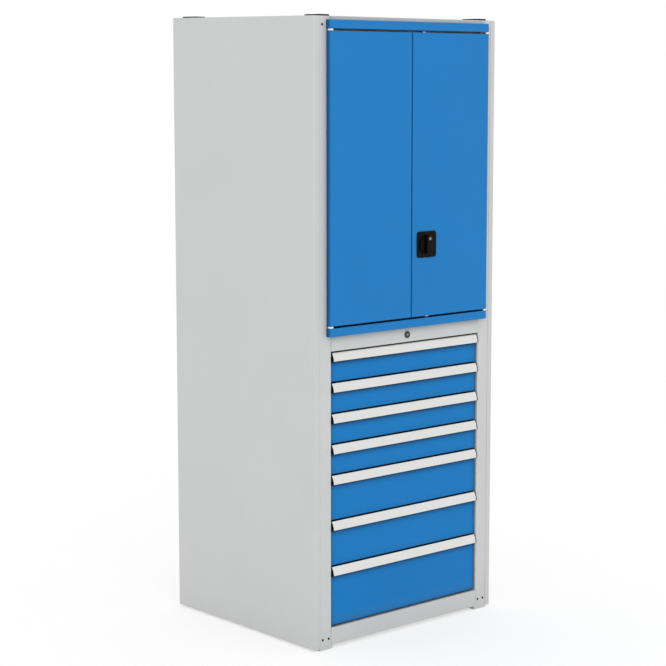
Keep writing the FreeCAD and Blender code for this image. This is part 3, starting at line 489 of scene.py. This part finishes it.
def anodised_finish():
    """Satin anodised extrusion with fine die lines along its length, and finger marks that dull it."""
    finish = Finish("anodised_grip")
    finish.plain("Metallic", 1.0)
    lines = finish.group(streak_group, fineness=1400.0)["Lines"]
    touch = finish.noise(scale=14.0, detail=5.0, roughness=0.6)
    edges = finish.group(edge_group, edge_radius=0.0003, gap_reach=0.008, gap_power=1.0, gap_strength=2.0)
    tone = finish.blend(lines, shade(anodised, 0.96), shade(anodised, 1.03))
    tone = finish.blend(finish.part(touch, most=0.16), tone, shade(anodised, 0.8))
    # Painted shade: darkens the grip where it is sheltered, as in the gap above it
    finish.feed("Base Color", finish.blend(finish.part(edges["Gap"], gap_shade_share), tone, painted_shade_dark))
    finish.feed("Roughness", finish.ramp(finish.both(lines, touch), low=0.30, high=0.58))
    finish.bump(lines, strength=0.08, distance=0.0002, normal=edges["Normal"])
    return finish.material


def zinc_finish():
    """Zinc plate: a mottled spangle over drawn lines."""
    finish = Finish("zinc_plate")
    finish.plain("Metallic", 1.0)
    edges = finish.group(edge_group, edge_radius=0.0003, gap_reach=0.012)
    spangle = finish.tree.nodes.new("ShaderNodeTexVoronoi")
    spangle.inputs["Scale"].default_value = 220.0
    finish.tree.links.new(object_place(finish.tree), spangle.inputs["Vector"])
    lines = finish.group(streak_group, fineness=700.0)["Lines"]
    mottle = finish.both(spangle.outputs["Distance"], lines)
    tone = finish.blend(mottle, shade(zinc, 0.86), shade(zinc, 1.12))
    # Painted shade darkens the zinc in its gaps
    finish.feed("Base Color", finish.blend(finish.part(edges["Gap"], most=0.7), tone, shade(zinc, 0.25)))
    finish.feed("Roughness", finish.ramp(mottle, low=0.30, high=0.46))
    finish.bump(lines, strength=0.05, distance=0.0002, normal=edges["Normal"])
    return finish.material


def ring_mask(finish, centre_x, centre_z, radius):
    """1 inside a circle about a front-to-back axis and 0 outside it."""
    split = finish.tree.nodes.new("ShaderNodeSeparateXYZ")
    finish.tree.links.new(object_place(finish.tree), split.inputs[0])
    across = math_node(finish.tree, "SUBTRACT", split.outputs["X"], centre_x)
    up = math_node(finish.tree, "SUBTRACT", split.outputs["Z"], centre_z)
    square = math_node(finish.tree, "ADD", finish.both(across, across), finish.both(up, up))
    return math_node(finish.tree, "LESS_THAN", square, radius * radius)


def lock_finish(name, centre_node, highlight_radius):
    """Black-nickel lock with a pale disc at its middle painted as a highlight, painted shade in its gaps, and
    fine handling scratches.
    """
    low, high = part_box(centre_node)
    middle = (low + high) / 2
    finish = Finish(name)
    finish.plain("Metallic", 1.0)
    edges = finish.group(edge_group, edge_radius=0.0004, gap_reach=0.004)
    scratch = finish.noise(scale=900.0, detail=6.0, roughness=0.7)
    # Painted highlight: a pale disc at the middle of the plug
    highlight_disc = ring_mask(finish, middle.x, middle.z, highlight_radius)
    tone = finish.blend(highlight_disc, dark_nickel, highlight_nickel)
    tone = finish.blend(finish.part(scratch, most=0.3), tone, dark_nickel)
    # Painted shade in the lock's gaps
    finish.feed("Base Color", finish.blend(edges["Gap"], tone, painted_shade_dark))
    finish.feed("Roughness", finish.ramp(scratch, low=0.10, high=0.30))
    finish.bump(scratch, strength=0.03, distance=0.0001, normal=edges["Normal"])
    return finish.material


def plastic_finish(name, colour, edge_tone, roughness, grain_scale, gloss):
    """Moulded plastic with a fine spark-eroded grain; its edges are paler on dark plastic as a painted
    highlight and a little darker on pale plastic, and its gaps get painted shade.
    """
    finish = Finish(name)
    edges = finish.group(edge_group, edge_radius=0.0009, gap_reach=0.010)
    grain = finish.noise(grain_scale, detail=3.0)
    tone = finish.blend(grain, shade(colour, 0.85), shade(colour, 1.15))
    # Edge tone: a painted highlight on dark plastic's edges; darker edges on pale plastic
    tone = finish.blend(finish.part(edges["Edge"], most=0.6), tone, shade(colour, edge_tone))
    # Painted shade darkens the plastic in its gaps
    finish.feed("Base Color", finish.blend(finish.part(edges["Gap"], most=0.8), tone, shade(colour, 0.2)))
    finish.feed("Roughness", finish.ramp(grain, low=roughness - 0.06, high=roughness + 0.08))
    finish.plain("Specular IOR Level", gloss)
    finish.bump(grain, strength=0.12, distance=0.0003, normal=edges["Normal"])
    return finish.material


def make_finishes():
    """The materials, by the record's slots, or by node where a node has its own in place of its slot's."""
    finishes = {
        # Gap strength sets how much shade each coat paints into its gaps; the top panel's high power keeps
        # its painted shade to the deepest gaps, and the right door gets little
        "frame_grey": grey_coat("grey_powder_coat", gap_power=1.35, gap_strength=1.0),
        "door_blue": blue_coat("blue_powder_coat", gloss=0.20, gap_strength=1.6),
        "grip_aluminium": anodised_finish(),
        "zinc_steel": zinc_finish(),
        # The black moulding's pale edges are a painted highlight
        "black_plastic": plastic_finish("black_moulding", black_plastic, edge_tone=5.0, roughness=0.40,
                                        grain_scale=1600.0, gloss=0.09),
        "white_nylon": plastic_finish("white_nylon", nylon, edge_tone=0.85, roughness=0.48,
                                      grain_scale=1200.0, gloss=0.4),
        "lock_housing": lock_finish("lock_rim", "lock_housing", highlight_radius=0.0),
        "drawer_lock": lock_finish("drawer_key_plug", "lock_housing", highlight_radius=0.0034),
        "knob_key_lock": lock_finish("knob_key_plug", "knob_key_lock", highlight_radius=0.0036),
        "right_door": blue_coat("blue_right_door_coat", gloss=0.20, gap_strength=0.2),
        "top_panel": grey_coat("grey_top_coat", gap_power=5.0, gap_strength=3.0),
    }
    # A strong painted shadow under each drawer grip and in the drawer gaps
    drawer_coat = blue_coat("blue_drawer_coat", gloss=0.14, gap_strength=2.7)
    for number in drawer_numbers:
        finishes[f"drawer_{number}_front"] = drawer_coat
    # The outer sheets get only faint painted shade in their seams
    open_coat = grey_coat("grey_outer_coat", gap_power=1.35, gap_strength=0.1)
    for node in open_sheets:
        finishes[node] = open_coat
    return finishes


def dress_nodes(finishes):
    """Give each CAD node its own finish, or else that of its slot."""
    for row in frame["record"]["subparts"]:
        name = row["node"]
        finish = name if name in finishes else row["material_slot"]
        mesh = nodes[name].data
        mesh.materials.clear()
        mesh.materials.append(finishes[finish])


# Outlines, turned shapes and other helpers for the pieces
def arc_points(start, end, radius, steps):
    """Points along an arc from start to end, with its centre to the left of the way."""
    a, b = Vector(start), Vector(end)
    chord = b - a
    normal = Vector((-chord.y, chord.x)).normalized()
    centre = (a + b) / 2 + normal * math.sqrt(radius ** 2 - (chord.length / 2) ** 2)
    first = math.atan2(a.y - centre.y, a.x - centre.x)
    sweep = (b - centre).angle_signed(a - centre)
    angles = [first + sweep * k / steps for k in range(steps + 1)]
    return [centre + Vector((math.cos(angle), math.sin(angle))) * radius for angle in angles]


def rounded(points, corner, steps):
    """The outline with each corner that turns by more than a little cut by a short curve."""
    made = []
    for before, here, after in zip(points[-1:] + points[:-1], points, points[1:] + points[:1]):
        come, go = here - before, after - here
        if abs(come.angle_signed(go)) < least_turn:
            made.append(here)
            continue
        reach = min(corner, come.length * corner_share, go.length * corner_share)
        first = here - come.normalized() * reach
        last = here + go.normalized() * reach
        for k in range(steps + 1):
            share = k / steps
            made.append(first * (1 - share) ** 2 + here * 2 * share * (1 - share) + last * share ** 2)
    return made


def outline_curve(name, points):
    """A closed flat curve, given half a turn so that it is the right way up when it is swept."""
    curve = bpy.data.curves.new(name, "CURVE")
    curve.dimensions = "3D"
    spline = curve.splines.new("POLY")
    spline.points.add(len(points) - 1)
    for made, point in zip(spline.points, points):
        made.co = (-point.x, -point.y, 0.0, 1.0)
    spline.use_cyclic_u = True
    return curve


def points_mesh(name, places):
    mesh = bpy.data.meshes.new(name)
    mesh.from_pydata(places, [], [])
    return mesh


def wall_corners(lower, upper, here, following):
    """The corners of one face between two rings, either of which may be a single point."""
    if len(upper) == 1:
        return [lower[here], lower[following], upper[0]]
    if len(lower) == 1:
        return [lower[0], upper[following], upper[here]]
    return [lower[here], lower[following], upper[following], upper[here]]


def lathe(name, profile, steps):
    """A turned shape about Z from (radius, height) pairs, closed where a radius is zero."""
    mesh = bpy.data.meshes.new(name)
    bm = bmesh.new()
    rings = []
    for radius, height in profile:
        if radius == 0.0:
            rings.append([bm.verts.new((0.0, 0.0, height))])
            continue
        ring = []
        for k in range(steps):
            angle = 2 * math.pi * k / steps
            ring.append(bm.verts.new((radius * math.cos(angle), radius * math.sin(angle), height)))
        rings.append(ring)
    for lower, upper in zip(rings, rings[1:]):
        for k in range(steps):
            bm.faces.new(wall_corners(lower, upper, k, (k + 1) % steps))
    bm.to_mesh(mesh)
    bm.free()
    return link(bpy.data.objects.new(name, mesh))


def joined(parts):
    """One object from several."""
    first = parts[0]
    bm = bmesh.new()
    for part in parts:
        bm.from_mesh(part.data)
    bm.to_mesh(first.data)
    bm.free()
    for part in parts[1:]:
        bpy.data.objects.remove(part)
    return first


def finish_piece(piece, body, slot, *replaced):
    """Hang a piece on the body that carries it and hide the nodes that it stands in for; its slot is not
    used.
    """
    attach(piece, body)
    if replaced:
        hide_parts(*replaced)


# Rules that make pieces
class Recipe:
    """A Geometry Nodes tree with named inputs, ending in realised instances with a material."""

    def __init__(self, name, inputs):
        self.tree = bpy.data.node_groups.new(name, "GeometryNodeTree")
        self.sockets = {}
        self.add_input("Geometry", "NodeSocketGeometry")
        self.add_input("Material", "NodeSocketMaterial")
        for label, kind in inputs:
            self.add_input(label, kind)
        self.tree.interface.new_socket("Geometry", in_out="OUTPUT", socket_type="NodeSocketGeometry")
        self.start = self.tree.nodes.new("NodeGroupInput").outputs

    def add_input(self, label, kind):
        socket = self.tree.interface.new_socket(label, in_out="INPUT", socket_type=kind)
        self.sockets[label] = socket.identifier

    def node(self, kind, wires, **settings):
        """A node with its settings, and its inputs wired to sockets or set to values."""
        made = self.tree.nodes.new(kind)
        for label, value in settings.items():
            setattr(made, label, value)
        for label, value in wires.items():
            socket = made.inputs[label]
            if isinstance(value, bpy.types.NodeSocket):
                self.tree.links.new(value, socket)
            else:
                socket.default_value = value
        return made.outputs[0]

    def end(self, geometry):
        solid = self.node("GeometryNodeRealizeInstances", {"Geometry": geometry})
        wires = {"Geometry": solid, "Material": self.start["Material"]}
        dressed = self.node("GeometryNodeSetMaterial", wires)
        self.tree.links.new(dressed, self.tree.nodes.new("NodeGroupOutput").inputs["Geometry"])

    def run(self, name, seed_data, material, values):
        """Evaluate the tree on a seed and keep the result as a plain mesh object."""
        seed = link(bpy.data.objects.new(name + "_seed", seed_data))
        modifier = seed.modifiers.new("recipe", "NODES")
        modifier.node_group = self.tree
        modifier[self.sockets["Material"]] = material
        for label, value in values.items():
            modifier[self.sockets[label]] = value
        evaluated = seed.evaluated_get(bpy.context.evaluated_depsgraph_get())
        mesh = bpy.data.meshes.new_from_object(evaluated)
        seed.modifiers.remove(modifier)
        bpy.data.objects.remove(seed)
        mesh.name = name
        mesh.shade_smooth()
        mesh.set_sharp_from_angle(angle=sharp_angle)
        return link(bpy.data.objects.new(name, mesh))


def make_extrusion_recipe():
    """Sweeps an outline along a straight line from Start to End."""
    recipe = Recipe("extrusion", [("Start", "NodeSocketVector"), ("End", "NodeSocketVector")])
    line = recipe.node("GeometryNodeCurvePrimitiveLine",
                       {"Start": recipe.start["Start"], "End": recipe.start["End"]})
    bar = recipe.node("GeometryNodeCurveToMesh",
                      {"Curve": line, "Profile Curve": recipe.start["Geometry"], "Fill Caps": True})
    recipe.end(bar)
    return recipe


def make_row_recipe():
    """Puts a copy of a small fastener on every point, all turned the same way."""
    recipe = Recipe("fastener_row", [("Fastener", "NodeSocketObject"), ("Turn", "NodeSocketVector")])
    source = recipe.tree.nodes.new("GeometryNodeObjectInfo")
    recipe.tree.links.new(recipe.start["Fastener"], source.inputs["Object"])
    turn = recipe.node("FunctionNodeEulerToRotation", {"Euler": recipe.start["Turn"]})
    points = recipe.node("GeometryNodeMeshToPoints", {"Mesh": recipe.start["Geometry"]})
    copies = recipe.node("GeometryNodeInstanceOnPoints",
                         {"Points": points, "Instance": source.outputs["Geometry"], "Rotation": turn})
    recipe.end(copies)
    return recipe


def make_thread_recipe():
    """Winds a ridge up a stud."""
    recipe = Recipe("stud_thread", [("Radius", "NodeSocketFloat"), ("Length", "NodeSocketFloat"),
                                    ("Turns", "NodeSocketFloat"), ("Place", "NodeSocketVector")])
    start = recipe.start
    spiral = recipe.node("GeometryNodeCurveSpiral",
                         {"Resolution": thread_steps, "Rotations": start["Turns"], "Height": start["Length"],
                          "Start Radius": start["Radius"], "End Radius": start["Radius"]})
    upright = recipe.node("GeometryNodeSetCurveNormal", {"Curve": spiral}, mode="Z_UP")
    ridge = recipe.node("GeometryNodeCurveToMesh",
                        {"Curve": upright, "Profile Curve": start["Geometry"], "Fill Caps": True})
    placed = recipe.node("GeometryNodeTransform", {"Geometry": ridge, "Translation": start["Place"]})
    recipe.end(placed)
    return recipe


# Pieces of the cabinet
def grip_outline():
    """The hooked section of the grip, with its corners eased."""
    face = arc_points((grip_crown, 0.0), (grip_nose, grip_low), grip_radius, grip_arc_steps)
    inside = arc_points((grip_crown + grip_wall, -grip_wall), (grip_nose + grip_wall, grip_low + grip_wall),
                        grip_radius - grip_wall, grip_arc_steps)
    tail = [(grip_nose + grip_lip, grip_low), (grip_nose + grip_lip, grip_low + grip_wall)]
    points = [Vector((grip_back, 0.0))] + face + [Vector(place) for place in tail]
    points += inside[::-1] + [Vector((grip_back, -grip_wall))]
    return rounded(points, grip_corner, steps=4)


def cap_outline():
    """The black end cap shows a rim round the section and closes it."""
    low = grip_low - grip_cap_rim
    face = arc_points((grip_crown, 0.0), (grip_nose - grip_cap_rim, low), grip_radius + grip_cap_rim,
                      grip_arc_steps)
    points = [Vector((grip_cap_seat, 0.0))] + face + [Vector((grip_cap_seat, low))]
    return rounded(points, grip_corner, steps=3)


def make_grips(finishes, extrusion):
    """An aluminium grip and its two black end caps on every drawer."""
    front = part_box("front_left_post")[0].y
    for number in drawer_numbers:
        node = f"drawer_{number}_grip"
        low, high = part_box(node)
        left, right = low.x + grip_cap_width, high.x - grip_cap_width
        pieces = [("bar", "grip_aluminium", grip_outline(), [(left, right)]),
                  ("caps", "black_plastic", cap_outline(), [(low.x, left), (right, high.x)])]
        for word, slot, points, spans in pieces:
            curve = outline_curve(f"grip_{word}", points)
            parts = []
            for start, end in spans:
                ends = {"Start": (start, front, high.z), "End": (end, front, high.z)}
                parts.append(extrusion.run(f"grip_{word}_{number}", curve, finishes[slot], ends))
            finish_piece(joined(parts), f"drawer_{number}", slot, node)


def make_shaft(radius, length, place):
    """A round pin that runs to the back from its place, with its ends eased."""
    ease = radius * shaft_ease_share
    profile = [(0.0, 0.0), (radius - ease, 0.0), (radius, ease), (radius, length - ease),
               (radius - ease, length), (0.0, length)]
    shaft = lathe("crank_shaft", profile, steps=24)
    shaft.data.transform(Matrix.Translation(place) @ Matrix.Rotation(math.radians(-90), 4, "X"))
    return shaft


def make_cam(finishes, extrusion):
    """The eased crank plate on the knob's spindle, with a pin for each rod."""
    low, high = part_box("knob_cam")
    middle = (low + high) / 2
    half = (high.x - low.x) / 2
    front = high.y - cam_pin_length
    corners = [Vector((half * a, half * b)) for a, b in ((-1, -1), (1, -1), (1, 1), (-1, 1))]
    outline = outline_curve("crank_plate", rounded(corners, cam_corner, steps=5))
    ends = {"Start": (middle.x, front, middle.z), "End": (middle.x, front + cam_thickness, middle.z)}
    parts = [extrusion.run("crank_plate", outline, finishes["zinc_steel"], ends)]
    shafts = [(0.0, low.y, front, spindle_radius)]
    shafts += [(side * cam_pin_offset, front, high.y, cam_pin_radius) for side in (-1, 1)]
    for offset, start, end, radius in shafts:
        shaft = make_shaft(radius, end - start, (middle.x + offset, start, middle.z + offset))
        shaft.data.materials.append(finishes["zinc_steel"])
        parts.append(shaft)
    finish_piece(joined(parts), "door_knob", "zinc_steel", "knob_cam")


def make_screw_head():
    """A pan head with a shallow recess."""
    radius, rise = screw_head_radius, screw_head_rise
    profile = [(0.0, 0.0), (radius, 0.0), (radius, rise * 0.35), (radius * 0.8, rise * 0.85),
               (radius * 0.45, rise), (radius * 0.3, rise * 0.5), (0.0, rise * 0.4)]
    return lathe("screw_head", profile, steps=12)


def make_runner_screws(finishes, rows):
    """Two pan-head screws hold each fixed runner to its posts."""
    head = make_screw_head()
    low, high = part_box("cabinet_runners")
    ends = (low.y + screw_end_inset, high.y - screw_end_inset)
    for word, web, turn in (("left", low.x + runner_sheet, 90), ("right", high.x - runner_sheet, -90)):
        places = []
        for number in drawer_numbers:
            carriage_low, carriage_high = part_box(f"drawer_{number}_carriages")
            level = (carriage_low.z + carriage_high.z) / 2
            places += [(web, y, level) for y in ends]
        piece = rows.run(f"runner_screws_{word}", points_mesh("screw_places", places), finishes["zinc_steel"],
                         {"Fastener": head, "Turn": (0.0, math.radians(turn), 0.0)})
        finish_piece(piece, "cabinet", "zinc_steel")
    bpy.data.objects.remove(head)


def make_insert(rim):
    """A sleeve that is closed at its far end, with the given rim from its outside to its bore."""
    deep = insert_floor - insert_length
    profile = [(0.0, -insert_length), (insert_radius, -insert_length), *rim, (insert_bore, deep), (0.0, deep)]
    return lathe("insert", profile, steps=20)


def make_post_inserts(finishes, rows):
    """A dark threaded insert in each screw hole of the four posts; those in front have a thin flange."""
    wide, rise = insert_flange_radius, insert_flange_rise
    flange = [(insert_radius, insert_stand), (wide, insert_stand), (wide, rise / 2), (wide - rise / 2, rise),
              (insert_bore, rise)]
    sunk = [(insert_radius, -insert_sunk), (insert_bore, -insert_sunk)]
    left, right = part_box("front_left_post")[0].x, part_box("front_right_post")[1].x
    front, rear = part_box("front_left_post")[0].y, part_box("rear_left_post")[1].y
    outer = hole_outer_inset
    spots = [(outer, hole_low), (outer + hole_spacing, hole_low), (outer, cad_high.z - hole_below_top)]
    for word, y, turn, rim in (("front", front, 90, flange), ("rear", rear, -90, sunk)):
        insert = make_insert(rim)
        places = []
        for edge, inward in ((left, 1), (right, -1)):
            places += [(edge + inward * inset, y, z) for inset, z in spots]
        piece = rows.run(f"post_inserts_{word}", points_mesh("insert_places", places),
                         finishes["black_plastic"],
                         {"Fastener": insert, "Turn": (math.radians(turn), 0.0, 0.0)})
        finish_piece(piece, "cabinet", "black_plastic")
        bpy.data.objects.remove(insert)


def make_ball():
    """A steel ball from a few rings."""
    angles = [math.radians(degrees) for degrees in ball_ring_degrees]
    rings = [(ball_radius * math.cos(angle), ball_radius * math.sin(angle)) for angle in angles]
    return lathe("ball", [(0.0, -ball_radius), *rings, (0.0, ball_radius)], steps=10)


def make_carriage_balls(finishes, rows):
    """Two rows of steel balls in the outer side of every carriage."""
    ball = make_ball()
    inset = ball_radius + ball_inset
    for number in drawer_numbers:
        low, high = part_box(f"drawer_{number}_carriages")
        level = (low.z + high.z) / 2
        count = int((high.y - low.y) / ball_pitch)
        places = []
        for x in (low.x + inset, high.x - inset):
            for z in (level - ball_rows_apart / 2, level + ball_rows_apart / 2):
                places += [(x, low.y + ball_first + ball_pitch * k, z) for k in range(count)]
        piece = rows.run(f"carriage_balls_{number}", points_mesh("ball_places", places),
                         finishes["zinc_steel"], {"Fastener": ball, "Turn": (0.0, 0.0, 0.0)})
        finish_piece(piece, f"carriage_{number}", "zinc_steel")
    bpy.data.objects.remove(ball)


def make_weld():
    """A shallow round mark with a dimple."""
    radius, rise = weld_radius, weld_rise
    profile = [(0.0, 0.0), (radius, 0.0), (radius * 0.85, rise * 0.7), (radius * 0.5, rise),
               (0.0, rise * 0.5)]
    return lathe("weld", profile, steps=12)


def make_spot_welds(finishes, rows):
    """Weld marks down both flanks of each door's stiffener, seen when the doors are open."""
    weld = make_weld()
    for door in ("left_door", "right_door"):
        low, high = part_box(door)
        middle = (low.x + high.x) / 2
        back = high.y - stiffener_setback
        count = int((high.z - low.z) / weld_pitch)
        first = (low.z + high.z - (count - 1) * weld_pitch) / 2
        places = [(middle + side * (stiffener_half - weld_row_inset), back, first + weld_pitch * k)
                  for side in (-1, 1) for k in range(count)]
        piece = rows.run(f"spot_welds_{door}", points_mesh("weld_places", places), finishes["door_blue"],
                         {"Fastener": weld, "Turn": (math.radians(-90), 0.0, 0.0)})
        finish_piece(piece, door, "door_blue")
    bpy.data.objects.remove(weld)


def make_stud_core(name, radius, length):
    """The stud's root cylinder with eased ends and a socket in its top."""
    ease = radius * 0.3
    socket = length - stud_socket_depth
    profile = [(0.0, 0.0), (radius * 0.7, 0.0), (radius, ease), (radius, length - ease),
               (radius * 0.7, length), (radius * 0.45, length), (radius * 0.4, socket), (0.0, socket)]
    return lathe(name, profile, steps=24)


def make_studs(finishes):
    """The levelling studs, with a rolled thread and eased ends."""
    recipe = make_thread_recipe()
    flank = thread_pitch * thread_flank_share
    crest = thread_crest_half
    section = [(-thread_depth, flank), (0.0, crest), (0.0, -crest), (-thread_depth, -flank)]
    ridge = outline_curve("thread_ridge", [Vector(point) for point in section])
    for side in ("left", "right"):
        node = f"levelling_screw_{side}"
        low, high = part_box(node)
        middle = (low + high) / 2
        radius = (high.x - low.x) / 2
        tall = high.z - low.z
        core = make_stud_core(f"stud_core_{side}", radius - thread_depth, tall)
        core.data.transform(Matrix.Translation((middle.x, middle.y, low.z)))
        core.data.materials.append(finishes["zinc_steel"])
        run = tall - 2 * thread_runout
        thread = recipe.run(f"stud_{side}", ridge, finishes["zinc_steel"],
                            {"Radius": radius, "Length": run, "Turns": run / thread_pitch,
                             "Place": (middle.x, middle.y, low.z + thread_runout)})
        finish_piece(joined([thread, core]), node, "zinc_steel", node)


# The scene
bpy.context.scene.view_settings.view_transform = "Standard"
make_camera()
make_world()
make_floor()
make_key_lamp()
finishes = make_finishes()
dress_nodes(finishes)
extrusion = make_extrusion_recipe()
fastener_rows = make_row_recipe()
make_grips(finishes, extrusion)
make_cam(finishes, extrusion)
make_runner_screws(finishes, fastener_rows)
make_post_inserts(finishes, fastener_rows)
make_carriage_balls(finishes, fastener_rows)
make_spot_welds(finishes, fastener_rows)
make_studs(finishes)
